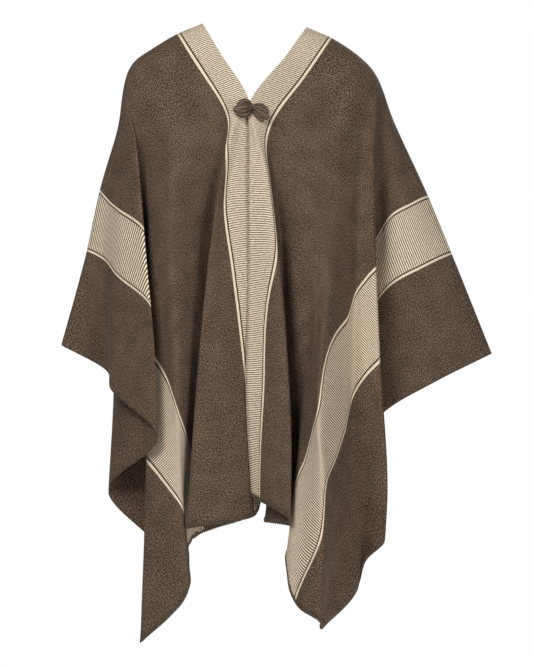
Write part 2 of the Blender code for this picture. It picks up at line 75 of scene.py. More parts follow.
# The shoulder and arm line of each width. Columns: u, x, y, z.
LEFT_SHOULDER = (
    (0.0, 10.0, 0.0, -0.3),
    (5.2, 14.7, 0.3, -2.3),
    (9.6, 18.5, 0.3, -4.7),
    (14.6, 22.1, 0.0, -7.9),
    (26.0, 26.6, 0.0, -18.4),
    (41.0, 32.9, 0.0, -32.1),
    (53.2, 37.6, 0.0, -43.5),
    (73.0, 45.1, 0.0, -62.2),
)
RIGHT_SHOULDER = (
    (0.0, -9.7, 0.0, 0.4),
    (5.8, -15.0, 0.3, -1.8),
    (10.0, -18.8, 0.3, -4.1),
    (15.0, -22.6, 0.0, -6.8),
    (28.3, -25.8, 0.0, -19.7),
    (41.0, -29.1, 0.0, -30.9),
    (53.2, -31.7, 0.0, -42.9),
    (73.0, -36.5, 0.0, -60.6),
)

# Folds, from the opening edge to the arm. Columns of a place: u, v, x, y, z.
LEFT_FRONT = (
    Fold("opening edge", 0.0, (
        (0.0, 10.0, 5.9, -5.5, -6.3),
        (0.0, 21.0, -0.6, -12.8, -15.2),
        (0.0, 30.0, -0.7, -14.0, -21.6),
        (0.0, 60.0, -1.0, -14.8, -52.2),
        (0.0, 76.5, -1.4, -15.5, -68.7),
        (0.0, 95.0, -0.4, -15.1, -88.4),
    )),
    Fold("ridge from the toggle", 1.2, (
        (1.2, 10.0, 6.8, -5.6, -7.0),
        (1.6, 22.0, 0.4, -13.2, -16.7),
        (3.7, 35.0, 2.4, -15.8, -28.6),
        (4.7, 48.5, 4.3, -17.3, -42.8),
        (11.0, 65.0, 5.9, -19.0, -60.5),
        (12.5, 76.5, 6.7, -20.3, -73.0),
        (21.0, 95.0, 6.7, -22.8, -92.5),
    )),
    Fold("valley beside it", 5.0, (
        (6.5, 11.0, 10.4, -6.5, -11.3),
        (7.0, 22.5, 5.1, -12.0, -20.1),
        (13.5, 44.0, 5.2, -11.6, -42.3),
        (19.5, 62.0, 5.3, -11.5, -61.1),
        (31.5, 95.0, 2.3, -12.5, -93.4),
    )),
    Fold("behind the body ridge", 6.0, (
        (7.9, 10.5, 11.6, -7.3, -12.5),
        (10.0, 21.8, 7.3, -12.9, -21.4),
        (17.0, 43.5, 7.8, -14.2, -42.1),
        (24.0, 62.5, 7.9, -14.4, -60.8),
        (37.5, 95.0, 8.0, -14.0, -94.6),
    )),
    Fold("broad body ridge", 7.0, (
        (9.5, 10.0, 12.8, -8.0, -13.7),
        (12.5, 21.5, 9.2, -13.5, -22.5),
        (20.0, 43.0, 10.3, -16.0, -42.0),
        (28.5, 63.0, 10.6, -16.8, -60.5),
        (40.5, 86.0, 7.6, -18.8, -86.0),
        (45.5, 95.0, 6.1, -19.8, -99.8),
    )),
    Fold("body face", 8.7, (
        (12.5, 11.0, 14.3, -8.5, -15.5),
        (15.7, 20.5, 12.2, -13.2, -23.0),
        (24.5, 40.0, 12.7, -16.0, -42.5),
        (33.5, 60.0, 11.3, -19.2, -62.5),
        (41.2, 74.0, 10.3, -21.6, -79.5),
        (53.2, 95.0, 7.7, -23.6, -107.6),
    )),
    Fold("body crease", 10.5, (
        (18.8, 19.5, 15.1, -12.5, -23.9),
        (30.0, 38.0, 14.7, -15.5, -43.9),
        (41.2, 57.0, 12.6, -22.0, -64.2),
        (42.4, 67.0, 12.2, -24.5, -76.3),
        (51.6, 72.5, 12.5, -25.8, -82.7),
        (52.8, 84.0, 12.5, -27.0, -96.0),
        (61.0, 95.0, 11.8, -27.5, -110.4),
    )),
    Fold("front corner", 12.4, (
        (23.0, 18.5, 18.2, -10.5, -26.9),
        (41.2, 44.5, 17.2, -12.8, -55.4),
        (53.0, 62.5, 16.8, -14.6, -75.8),
        (61.0, 75.0, 15.8, -16.5, -91.0),
        (73.0, 95.0, 12.5, -17.0, -113.0),
    )),
    Fold("hollow above the corner", 13.3, (
        (25.0, 16.5, 20.1, -9.0, -26.9),
        (41.2, 38.0, 19.2, -10.3, -50.6),
        (53.0, 54.5, 18.7, -11.2, -70.0),
        (68.0, 74.0, 19.3, -12.0, -97.5),
        (73.0, 81.0, 19.2, -9.5, -106.7),
    )),
    Fold("pleat at the selvage", 14.2, (
        (25.6, 15.0, 21.2, -8.8, -26.2),
        (41.2, 34.5, 20.8, -11.0, -48.3),
        (53.0, 50.0, 21.0, -12.3, -66.4),
        (73.0, 74.5, 20.8, -11.8, -100.9),
    )),
    Fold("outer body ridge", 15.2, (
        (26.2, 13.6, 22.2, -8.5, -25.5),
        (41.2, 31.0, 22.6, -11.5, -46.2),
        (53.0, 45.0, 23.3, -13.3, -63.8),
        (69.0, 63.0, 24.6, -15.0, -90.2),
        (73.0, 68.0, 24.3, -15.5, -96.7),
    )),
    Fold("hollow under the arm", 17.0, (
        (29.5, 11.0, 23.3, -4.5, -26.6),
        (48.0, 26.4, 20.6, -0.5, -53.0),
        (73.0, 48.0, 17.8, 2.0, -83.0),
    )),
    Fold("lower arm front", 20.0, (
        (36.0, 8.4, 26.0, -5.0, -30.2),
        (54.5, 18.0, 25.3, -5.0, -51.5),
        (73.0, 28.0, 24.3, -4.0, -73.5),
    )),
    Fold("upper arm front", 23.0, (
        (40.5, 4.9, 29.5, -4.2, -33.2),
        (58.0, 9.8, 33.0, -5.0, -51.0),
        (73.0, 14.0, 34.2, -4.8, -67.5),
    )),
)
LEFT_BACK = (
    Fold("centre seam", 0.0, (
        (0.0, 11.0, 6.4, 5.5, -6.6),
        (0.0, 23.0, 0.0, 10.5, -16.8),
        (0.0, 50.0, 0.0, 12.5, -43.5),
        (0.0, 95.0, 0.0, 13.0, -88.0),
    )),
    Fold("ridge beside the seam", 1.2, (
        (2.2, 11.0, 8.2, 6.2, -7.6),
        (4.2, 24.0, 4.0, 11.5, -19.5),
        (6.0, 50.0, 4.8, 15.5, -45.0),
        (9.0, 95.0, 5.0, 20.0, -88.5),
    )),
    Fold("inner hollow", 5.0, (
        (7.0, 12.0, 12.0, 7.0, -10.5),
        (10.0, 24.0, 9.0, 12.0, -20.5),
        (13.0, 50.0, 8.4, 12.5, -45.5),
        (18.0, 95.0, 7.4, 11.5, -89.0),
    )),
    Fold("side of the inner hollow", 6.0, (
        (8.7, 12.0, 13.1, 7.5, -11.7),
        (12.7, 24.0, 11.0, 12.5, -22.0),
        (16.5, 50.0, 10.2, 15.5, -46.7),
        (22.7, 95.0, 8.9, 16.5, -90.0),
    )),
    Fold("middle ridge", 7.0, (
        (10.5, 12.0, 14.3, 8.0, -13.0),
        (15.5, 24.0, 13.0, 13.0, -23.5),
        (20.0, 50.0, 12.0, 18.5, -48.0),
        (27.5, 95.0, 10.4, 21.5, -91.0),
    )),
    Fold("middle hollow", 8.7, (
        (14.5, 13.0, 16.4, 8.6, -15.5),
        (20.5, 25.0, 16.4, 12.5, -27.0),
        (27.0, 50.0, 15.2, 13.0, -51.0),
        (37.5, 95.0, 12.4, 11.5, -94.0),
    )),
    Fold("outer ridge", 10.5, (
        (18.5, 13.5, 18.2, 8.8, -18.0),
        (26.0, 28.0, 18.6, 13.0, -31.5),
        (35.5, 54.0, 18.0, 18.5, -57.5),
        (48.0, 95.0, 14.4, 21.5, -99.0),
    )),
    Fold("outer hollow", 12.4, (
        (23.5, 14.0, 20.0, 8.6, -21.5),
        (34.0, 33.0, 20.4, 11.0, -40.0),
        (45.0, 59.0, 19.6, 12.0, -67.0),
        (60.0, 95.0, 15.8, 10.5, -103.5),
    )),
    Fold("back corner", 13.3, (
        (25.5, 15.0, 21.2, 8.4, -24.5),
        (43.0, 45.0, 21.8, 13.0, -56.0),
        (58.0, 69.0, 20.8, 17.0, -81.0),
        (73.0, 95.0, 16.8, 19.0, -108.0),
    )),
    Fold("side of the corner", 14.2, (
        (26.2, 14.0, 21.8, 8.0, -25.0),
        (43.0, 40.5, 21.9, 10.7, -53.5),
        (58.0, 62.0, 21.0, 12.0, -77.5),
        (73.0, 86.0, 17.8, 12.8, -102.0),
    )),
    Fold("hollow above the corner", 15.2, (
        (27.0, 13.0, 22.3, 7.6, -25.5),
        (43.0, 36.0, 22.0, 8.5, -51.0),
        (58.0, 55.0, 21.2, 7.0, -74.0),
        (73.0, 77.0, 18.8, 6.5, -96.0),
    )),
    Fold("ridge under the arm", 17.0, (
        (30.0, 11.0, 23.8, 7.0, -27.0),
        (46.0, 26.0, 24.8, 10.5, -48.5),
        (60.0, 40.0, 24.4, 12.0, -67.0),
        (73.0, 55.0, 22.8, 12.5, -84.0),
    )),
    Fold("lower arm back", 20.0, (
        (36.0, 7.6, 26.4, 4.6, -30.0),
        (54.0, 17.5, 26.4, 5.5, -51.5),
        (73.0, 30.0, 24.8, 5.0, -73.5),
    )),
    Fold("upper arm back", 23.0, (
        (40.5, 4.5, 29.7, 3.9, -33.0),
        (58.0, 9.6, 33.0, 5.0, -51.0),
        (73.0, 14.0, 34.2, 5.0, -67.0),
    )),
)
RIGHT_FRONT = (
    Fold("opening edge", 0.0, (
        (0.0, 10.0, -6.2, -5.5, -5.8),
        (0.0, 21.0, -1.0, -12.0, -14.7),
        (0.0, 29.0, 0.0, -12.5, -21.4),
        (0.0, 43.0, 0.4, -13.3, -35.5),
        (0.0, 61.0, 2.3, -12.8, -54.0),
        (0.0, 80.0, 2.2, -10.9, -74.0),
        (0.0, 95.0, 1.1, -9.5, -90.1),
    )),
    Fold("edge of the inner band", 1.4, (
        (1.2, 10.0, -6.9, -5.7, -6.2),
        (1.6, 21.0, -2.2, -12.4, -15.8),
        (2.8, 28.5, -2.9, -13.4, -22.8),
        (4.8, 41.0, -5.2, -14.8, -35.2),
        (5.2, 52.0, -4.1, -15.2, -46.5),
        (5.3, 66.0, -2.4, -15.1, -61.0),
        (5.5, 79.0, -1.0, -14.8, -74.5),
        (5.6, 95.0, 0.0, -14.2, -92.2),
    )),
    Fold("ridge from the toggle", 2.9, (
        (2.4, 10.0, -7.6, -5.9, -6.8),
        (3.2, 21.0, -3.6, -12.8, -17.0),
        (5.0, 28.0, -5.1, -14.5, -24.0),
        (9.6, 43.5, -7.7, -16.2, -40.8),
        (14.0, 61.0, -9.7, -17.6, -59.6),
        (20.5, 95.0, -12.2, -19.5, -94.1),
    )),
    Fold("valley beside it", 5.0, (
        (6.0, 10.5, -10.5, -6.5, -10.0),
        (7.6, 21.0, -6.6, -11.2, -18.6),
        (16.0, 42.0, -7.2, -11.0, -39.5),
        (23.5, 62.0, -5.9, -9.5, -60.5),
        (33.0, 95.0, -2.6, -8.0, -93.4),
    )),
    Fold("turn behind the middle", 6.5, (
        (12.5, 20.0, -10.9, -12.3, -20.6),
        (22.0, 42.5, -10.9, -13.3, -42.5),
        (31.5, 64.0, -9.9, -13.0, -66.0),
        (42.0, 95.0, -9.9, -8.5, -95.8),
    )),
    Fold("broad body ridge", 8.0, (
        (17.0, 19.0, -14.8, -13.0, -22.4),
        (28.0, 43.0, -14.7, -16.0, -45.7),
        (39.6, 66.5, -13.4, -17.5, -71.6),
        (53.2, 95.0, -12.1, -14.5, -97.8),
    )),
    Fold("hem ridge", 10.8, (
        (21.0, 18.5, -17.4, -11.5, -25.2),
        (36.5, 48.0, -16.8, -14.5, -56.5),
        (49.5, 72.0, -14.6, -17.5, -82.7),
        (63.0, 95.0, -12.1, -19.5, -105.9),
    )),
    Fold("front corner", 12.9, (
        (24.5, 17.5, -19.6, -9.2, -26.9),
        (41.0, 48.0, -19.5, -11.5, -60.7),
        (57.0, 73.0, -20.0, -13.0, -88.5),
        (73.0, 95.0, -21.0, -13.0, -115.9),
    )),
    Fold("hollow behind the corner", 13.8, (
        (27.0, 15.0, -20.7, -8.0, -26.6),
        (45.0, 40.0, -18.0, -7.5, -55.9),
        (60.0, 58.0, -17.1, -6.5, -80.3),
        (73.0, 73.0, -16.7, -6.0, -101.0),
    )),
    Fold("hollow under the arm", 15.0, (
        (29.0, 12.5, -22.3, -7.4, -25.9),
        (46.0, 31.0, -25.7, -3.5, -54.0),
        (60.0, 45.0, -26.4, -3.0, -73.8),
        (73.0, 57.0, -27.4, -3.0, -88.7),
    )),
    Fold("arm front edge", 17.0, (
        (31.0, 9.8, -21.8, -9.6, -24.6),
        (46.0, 20.5, -19.8, -15.0, -45.6),
        (60.0, 30.0, -18.3, -17.5, -61.3),
        (73.0, 39.0, -17.7, -18.5, -77.3),
    )),
    Fold("sleeve ridge", 20.0, (
        (36.0, 6.5, -25.1, -6.5, -29.5),
        (54.0, 13.5, -25.8, -8.5, -48.4),
        (73.0, 21.0, -26.5, -10.0, -69.0),
    )),
    Fold("sleeve hollow", 23.0, (
        (40.0, 3.6, -27.2, -3.4, -32.2),
        (57.0, 7.2, -28.5, -3.0, -48.3),
        (73.0, 10.5, -28.0, -1.5, -65.3),
    )),
)
RIGHT_BACK = (
    Fold("centre seam", 0.0, (
        (0.0, 11.0, -6.2, 5.5, -6.2),
        (0.0, 23.0, 0.0, 10.5, -16.8),
        (0.0, 50.0, 0.0, 12.5, -43.5),
        (0.0, 95.0, 0.0, 13.0, -88.0),
    )),
    Fold("rise from the seam", 1.4, (
        (1.1, 11.0, -7.1, 5.8, -6.7),
        (2.1, 23.5, -1.9, 11.0, -18.1),
        (3.2, 50.0, -2.4, 14.1, -44.2),
        (4.7, 95.0, -2.6, 16.8, -88.2),
    )),
    Fold("ridge beside the seam", 2.9, (
        (2.4, 11.0, -8.0, 6.2, -7.2),
        (4.4, 24.0, -4.0, 11.5, -19.5),
        (6.5, 50.0, -4.8, 15.5, -45.0),
        (9.5, 95.0, -5.2, 20.0, -88.5),
    )),
    Fold("inner hollow", 5.0, (
        (8.0, 12.0, -12.0, 7.0, -10.0),
        (11.0, 24.0, -9.5, 12.0, -21.0),
        (15.0, 50.0, -9.2, 12.5, -46.0),
        (20.5, 95.0, -8.2, 11.0, -89.5),
    )),
    Fold("side of the inner hollow", 6.5, (
        (10.2, 12.2, -13.6, 7.5, -11.2),
        (14.5, 24.5, -12.0, 12.5, -23.0),
        (19.8, 50.5, -11.4, 15.8, -48.0),
        (26.5, 95.0, -9.9, 16.8, -91.2),
    )),
    Fold("middle ridge", 8.0, (
        (12.5, 12.5, -15.2, 8.0, -12.5),
        (18.0, 25.0, -14.6, 13.0, -25.0),
        (24.5, 51.0, -13.6, 19.0, -50.0),
        (32.5, 95.0, -11.6, 22.5, -93.0),
    )),
    Fold("middle hollow", 10.8, (
        (17.5, 13.5, -18.2, 8.8, -17.0),
        (25.5, 28.0, -18.4, 12.0, -31.0),
        (34.5, 54.0, -17.4, 12.0, -57.0),
        (46.0, 95.0, -14.6, 10.5, -99.0),
    )),
    Fold("outer ridge", 12.9, (
        (22.5, 14.0, -20.4, 9.0, -21.5),
        (34.0, 34.0, -20.6, 14.5, -42.0),
        (45.5, 60.0, -19.8, 18.5, -69.0),
        (59.5, 95.0, -16.8, 22.0, -104.0),
    )),
    Fold("back corner", 13.8, (
        (25.5, 14.5, -21.6, 8.4, -25.0),
        (43.0, 44.0, -22.4, 9.5, -56.0),
        (58.0, 68.0, -21.4, 11.0, -82.0),
        (73.0, 95.0, -18.0, 12.0, -110.0),
    )),
    Fold("ridge above the corner", 15.0, (
        (27.5, 12.5, -22.8, 7.6, -25.8),
        (43.0, 35.0, -23.6, 12.0, -51.0),
        (58.0, 54.0, -23.4, 16.0, -74.0),
        (73.0, 77.0, -20.6, 19.5, -97.0),
    )),
    Fold("hollow under the arm", 17.0, (
        (30.5, 10.5, -23.8, 6.2, -27.0),
        (46.0, 25.0, -25.0, 6.5, -48.0),
        (60.0, 40.0, -25.0, 6.0, -67.0),
        (73.0, 55.0, -23.6, 5.5, -84.5),
    )),
    Fold("lower arm back", 20.0, (
        (36.0, 7.4, -25.2, 5.4, -29.8),
        (54.0, 17.0, -26.4, 9.5, -50.0),
        (73.0, 31.0, -26.3, 11.5, -70.8),
    )),
    Fold("upper arm back", 23.0, (
        (40.5, 4.2, -27.2, 3.8, -32.5),
        (57.0, 9.2, -29.6, 6.0, -49.0),
        (73.0, 15.0, -29.5, 6.5, -63.2),
    )),
)

TINY = 0.0001               # cm, the shortest step between two places

# ---- stripes of the weave, cm from the opening edge: the inner band and the side band ----
CREAM_BANDS = ((-1.0, 4.6), (41.75, 52.35))
DARK_LINES = ((4.6, 4.85), (41.5, 41.75), (52.35, 52.6))
IVORY_LINES = ((4.85, 5.3), (41.05, 41.5), (52.6, 53.05))
BAND_EDGE = 6.0             # u by which the slant of the inner band's picks has ended
RIB_PITCH = 0.40            # one cream pick and one brown pick of the inner band
TWILL_PITCH = 0.40          # diagonal of the plain brown cloth
HEM_BORDER = 0.45           # width of the edge that the stitches pull in
HEM_LINE = 0.22             # and of the pale line inside it where it crosses a cream band
LINE_SOFTNESS = 0.03        # half the width over which the edge of a stripe fades
BORDER_SOFTNESS = 0.04      # and the edge of the hem's border
LINE_WANDER = 0.08          # how far a stripe wanders, from side to side
RIB_CONTRAST = 1.1          # of the inner band; the side band has 1 more
RELIEF = 0.0008             # metres, how deep the threads lie in the bump

BROWN = (0.080, 0.050, 0.031)
BROWN_LIGHT = (0.275, 0.197, 0.138)
BROWN_DARK = (0.011, 0.006, 0.0035)
CREAM = (0.95, 0.81, 0.62)
CREAM_SHADE = (0.115, 0.068, 0.035)
IVORY = (0.98, 0.88, 0.68)
IVORY_SHADE = (0.60, 0.47, 0.31)
LINE_BROWN = (0.045, 0.027, 0.016)
THREAD_DARK = (0.045, 0.030, 0.020)
THREAD_LIGHT = (0.19, 0.138, 0.098)
ROLLED_DARK = (0.014, 0.009, 0.006)
ROLLED_LIGHT = (0.225, 0.158, 0.113)

# How far the picks of the inner band slant, cm of v for each cm of u, where the cloth is pulled
# askew round the neck. Columns: distance from the shoulder line, left width, right width.
PICK_SLANT = (
    (0.0, 0.0, 0.0),
    (10.0, 0.35, 0.35),
    (20.0, 0.20, 0.40),
    (26.0, 0.70, 0.65),
    (32.0, 0.72, 0.42),
    (45.0, 0.52, 0.10),
    (60.0, 0.35, 0.25),
    (95.0, 0.30, 0.30),
)

# The side band's picks are spread out where it goes over the arm. Columns: distance from the
# shoulder line, and where the pick there would lie in the inner band, left width and right width.
SIDE_PICKS = (
    (0.0, 0.0, 0.0),
    (25.0, 20.6, 18.2),
    (35.0, 29.6, 27.2),
    (95.0, 86.1, 83.7),
)

# ---- soft creases of the worn cloth ----
# Each is a smooth trough (depth below 0) or ridge. Columns: u and v of its two ends, width and
# depth, all in cm. v is below zero on the back.
Crease = namedtuple("Crease", "from_u from_v to_u to_v width depth")
LEFT_CREASES = (
    Crease(12.0, 9.0, 26.0, 34.0, 1.6, -0.22),
    Crease(20.0, 8.0, 38.0, 26.0, 1.8, 0.20),
    Crease(30.0, 9.0, 54.0, 22.0, 2.2, -0.25),
    Crease(16.0, 30.0, 20.0, 62.0, 1.8, 0.20),
    Crease(24.0, 52.0, 34.0, 82.0, 2.0, -0.22),
    Crease(56.0, 10.0, 70.0, 16.0, 1.8, 0.20),
    Crease(60.0, 62.0, 68.0, 78.0, 1.6, -0.25),
    Crease(10.0, -16.0, 24.0, -40.0, 2.0, -0.25),
    Crease(22.0, -30.0, 36.0, -62.0, 2.2, 0.22),
    Crease(44.0, -22.0, 62.0, -38.0, 2.2, -0.25),
)
RIGHT_CREASES = (
    Crease(12.0, 9.0, 24.0, 32.0, 1.6, 0.22),
    Crease(19.0, 7.0, 36.0, 22.0, 1.8, -0.22),
    Crease(34.0, 6.0, 58.0, 18.0, 2.2, 0.24),
    Crease(18.0, 34.0, 24.0, 66.0, 1.8, -0.20),
    Crease(30.0, 60.0, 38.0, 88.0, 2.0, 0.22),
    Crease(58.0, 7.0, 71.0, 13.0, 1.8, -0.22),
    Crease(62.0, 66.0, 69.0, 82.0, 1.6, 0.20),
    Crease(11.0, -15.0, 26.0, -42.0, 2.0, 0.24),
    Crease(24.0, -32.0, 38.0, -66.0, 2.2, -0.22),
    Crease(42.0, -20.0, 60.0, -36.0, 2.2, 0.25),
)
HEM_RIPPLE = 0.10           # cm, how far the hems wave in and out
HEM_RIPPLE_PITCH = 5.5      # cm of one wave
EDGE_FADE = 4.0             # cm from the front edge and the seam over which relief fades in
EASING_ROUNDS = 45          # how far the weave evens itself out over the folds


def smooth_tangents(knots, points):
    """Slopes of a smooth curve through the points, one-sided at its ends."""
    spans = np.diff(knots)[:, None]
    chords = np.diff(points, axis=0) / spans
    inner = (chords[:-1] * spans[1:] + chords[1:] * spans[:-1]) / (spans[:-1] + spans[1:])
    return np.vstack([chords[:1], inner, chords[-1:]])


def follow(knots, points, leaving, arriving, where):
    """Places on a curve through the points, with its slopes just after and just before each one."""
    piece = np.clip(np.searchsorted(knots, where, side="right") - 1, 0, len(knots) - 2)
    span = (knots[piece + 1] - knots[piece])[:, None]
    s = (where - knots[piece])[:, None] / span
    ease = s * s * (3 - 2 * s)
    return (points[piece] * (1 - ease) + points[piece + 1] * ease
            + leaving[piece] * span * s * (1 - s) ** 2
            - arriving[piece + 1] * span * s * s * (1 - s))


def on_shoulder(shoulder, u):
    """Places (x, y, z) on the shoulder and arm line at the distances u along it."""
    table = np.array(shoulder)
    slopes = smooth_tangents(table[:, 0], table[:, 1:])
    return follow(table[:, 0], table[:, 1:], slopes, slopes, np.asarray(u))


def hang_fold(fold, shoulder, forward, rows):
    """One fold from the shoulder to the lower edge: rows of (u, v, x, y, z)."""
    start = on_shoulder(shoulder, [fold.start])[0]
    points = np.vstack([[fold.start, 0.0, *start], fold.places])
    steps = np.hypot(*np.diff(points[:, :2], axis=0).T)
    knots = np.concatenate([[0.0], np.cumsum(steps)])
    tangents = smooth_tangents(knots, points)
    across, down = (points[1, :2] - points[0, :2]) / steps[0]
    along = (on_shoulder(shoulder, [fold.start + SHOULDER_NUDGE])[0] - start) / SHOULDER_NUDGE
    level = np.array([0.0, -1.0 if forward else 1.0, 0.0])
    tangents[0] = [across, down, *(across * along + down * level)]
    return follow(knots, points, tangents, tangents, knots[-1] * rows)


def follow_arm(shoulder, rows):
    """The fold that front and back share: it runs along the arm line to the selvage."""
    u = FAN_END + (PANEL_WIDTH - FAN_END) * rows
    return np.column_stack([u, np.zeros_like(u), on_shoulder(shoulder, u)])


def across_folds(row, down, corners, seam_flat):
    """The cloth along one row of places, from the front edge round to the back edge."""
    steps = np.maximum(np.linalg.norm(np.diff(row[:, 2:], axis=0), axis=1), 0.01)
    knots = np.concatenate([[0.0], np.cumsum(steps)])
    slopes = smooth_tangents(knots, row)
    chords = np.diff(row, axis=0) / steps[:, None]
    slopes[1:-1, 2:] = (chords[:-1, 2:] + chords[1:, 2:]) / 2
    speeds = np.linalg.norm(slopes[:, 2:], axis=1, keepdims=True)
    slopes[:, 2:] *= np.maximum(1.0, FOLD_ROUNDNESS / (speeds + ROUNDING_START))
    slopes[-1, 3:] *= 1.0 - seam_flat
    leaving, arriving = slopes.copy(), slopes.copy()
    sharp = down ** CORNER_SHARPNESS
    for corner in corners:
        leaving[corner] += sharp * (chords[corner] - slopes[corner])
        arriving[corner] += sharp * (chords[corner - 1] - slopes[corner])
    columns = len(row)
    where = np.linspace(0, columns - 1, (columns - 1) * STEPS_PER_FOLD + 1)
    cloth = follow(knots, row, leaving, arriving, np.interp(where, np.arange(columns), knots))
    steps = np.maximum(np.linalg.norm(np.diff(cloth[:, 2:], axis=0), axis=1), TINY)
    walked = np.concatenate([[0.0], np.cumsum(steps)])
    at_folds = walked[::STEPS_PER_FOLD]
    slopes = smooth_tangents(at_folds, row[:, :2])
    cloth[:, :2] = follow(at_folds, row[:, :2], slopes, slopes, walked)
    return cloth


def drape(front, back, shoulder, side):
    """Grid [row, column] of (u, v, x, y, z) over one length, v below zero on the back."""
    rows = np.linspace(0.0, 1.0, ROWS + 1) ** ROW_CROWDING
    folds = [hang_fold(fold, shoulder, True, rows) for fold in front]
    folds.append(follow_arm(shoulder, rows))
    folds += [hang_fold(fold, shoulder, False, rows) for fold in reversed(back)]
    at_corner = [PANEL_WIDTH == u and PANEL_DROP == v for u, v in ((f[-1, 0], f[-1, 1]) for f in folds)]
    corners = np.flatnonzero(at_corner)
    grid = np.stack(folds, axis=1)
    grid[:, -1, 2] = side * np.maximum(side * grid[:, -1, 2], SEAM_EDGE)
    seam_flat = np.clip(grid[:, -1, 1] / BACK_NECK_DROP, 0.0, 1.0)
    draped = np.array([across_folds(row, down, corners, flat)
                       for row, down, flat in zip(grid, rows, seam_flat)])
    draped[:, len(front) * STEPS_PER_FOLD + 1:, 1] *= -1
    ease_weave(draped)
    return draped


def ease_weave(grid):
    """Even out how (u, v) run over the folds, so that the stripes cross them in smooth curves."""
    places = grid[..., 2:]
    reach_down = 1 / np.maximum(np.linalg.norm(np.diff(places, axis=0), axis=2), TINY)
    reach_across = 1 / np.maximum(np.linalg.norm(np.diff(places, axis=1), axis=2), TINY)
    above, below = reach_down[:-1, 1:-1], reach_down[1:, 1:-1]
    before, after = reach_across[1:-1, :-1], reach_across[1:-1, 1:]
    total = (above + below + before + after)[..., None]
    weave = grid[..., :2]
    for _ in range(EASING_ROUNDS):
        drawn = (above[..., None] * weave[:-2, 1:-1] + below[..., None] * weave[2:, 1:-1]
                 + before[..., None] * weave[1:-1, :-2] + after[..., None] * weave[1:-1, 2:]) / total
        weave[1:-1, 1:-1] += (drawn - weave[1:-1, 1:-1]) / 2


def crease_relief(u, v, creases):
    """How far the cloth stands out at (u, v) for its creases and its hem's slight waves, cm."""
    relief = np.zeros_like(u)
    for crease in creases:
        start = np.array((crease.from_u, crease.from_v))
        run = np.array((crease.to_u, crease.to_v)) - start
        length = np.linalg.norm(run)
        along_u, along_v = run / length
        along = ((u - start[0]) * along_u + (v - start[1]) * along_v) / length
        off = ((v - start[1]) * along_u - (u - start[0]) * along_v) / crease.width
        taper = np.sin(np.clip(along, 0.0, 1.0) * math.pi) ** 2
        relief += crease.depth * taper * np.exp(-off ** 2)
    near_hem = np.clip((np.abs(v) - PANEL_DROP) / HEM_RIPPLE_PITCH + 1, 0.0, 1.0) ** 2
    relief += HEM_RIPPLE * near_hem * np.sin(u * 2 * math.pi / HEM_RIPPLE_PITCH)
    return relief * np.clip(u / EDGE_FADE, 0.0, 1.0) ** 2


def grid_normals(places):
    """Unit normals of a grid of places [row, column, xyz], out of the cloth's face."""
    down = np.gradient(places, axis=0)
    across = np.gradient(places, axis=1)
    normals = np.cross(across, down)
    return normals / np.maximum(np.linalg.norm(normals, axis=2, keepdims=True), 1e-9)


class Value:
    """A socket of a shader tree that can be used in Python sums."""

    def __init__(self, tree, socket):
        self.tree = tree
        self.socket = socket

    def node(self, kind, output, inputs, **settings):
        """Add a node of any kind, set it up and link or fill its sockets."""
        made = self.tree.nodes.new("ShaderNode" + kind)
        stops = settings.pop("stops", None)
        for name, setting in settings.items():
            setattr(made, name, setting)
        if stops:
            ramp = made.color_ramp.elements
            while len(ramp) < len(stops):
                ramp.new(1.0)
            for element, (position, colour) in zip(ramp, stops):
                element.position = position
                element.color = (*colour, 1.0)
        for name, value in inputs.items():
            socket = made.inputs[name]
            if isinstance(value, Value):
                self.tree.links.new(value.socket, socket)
            else:
                socket.default_value = value
        return Value(self.tree, made.outputs[output])

    def math(self, operation, *others):
        values = dict(enumerate((self, *others)))
        return self.node("Math", 0, values, operation=operation)

    def __add__(self, other):
        return self.math("ADD", other)

    def __mul__(self, other):
        return self.math("MULTIPLY", other)

    def __sub__(self, other):
        return self.math("SUBTRACT", other)

    def __rsub__(self, other):
        return self * -1.0 + other

    def __truediv__(self, other):
        return self.math("DIVIDE", other)

    __radd__ = __add__
    __rmul__ = __mul__

    def sine(self, period):
        """A wave from 0 to 1 with the given period."""
        return (self * (2 * math.pi / period)).math("SINE") * 0.5 + 0.5

    def over(self, edge, softness):
        """0 below the edge and 1 above it."""
        limits = {"Value": self, "From Min": edge - softness, "From Max": edge + softness}
        return self.node("MapRange", "Result", limits, interpolation_type="SMOOTHSTEP")

    def between(self, low, high, softness):
        """1 between the two edges and 0 outside them."""
        return self.over(low, softness) - self.over(high, softness)

    def mix(self, low, high):
        """From the first colour to the second as this value goes from 0 to 1."""
        low, high = (value if isinstance(value, Value) else (*value, 1.0) for value in (low, high))
        return self.node("Mix", 2, {0: self, 6: low, 7: high}, data_type="RGBA")


def start_material(name, uv_map, roughness, sheen):
    """A new cloth material, its shader, and its u, v and position in centimetres."""
    made = bpy.data.materials.new(name)
    made.use_nodes = True
    tree = made.node_tree
    shader = tree.nodes["Principled BSDF"]
    shader.inputs["Roughness"].default_value = roughness
    shader.inputs["Specular IOR Level"].default_value = 0.2
    shader.inputs["Sheen Weight"].default_value = sheen
    shader.inputs["Sheen Roughness"].default_value = 0.6
    shader.inputs["Sheen Tint"].default_value = (0.75, 0.62, 0.5, 1.0)
    root = Value(tree, None)
    place = root.node("UVMap", "UV", {}, uv_map=uv_map)
    to_cm = {0: place, "Scale": 1 / CM}
    place = root.node("VectorMath", 0, to_cm, operation="SCALE")
    return made, shader, place


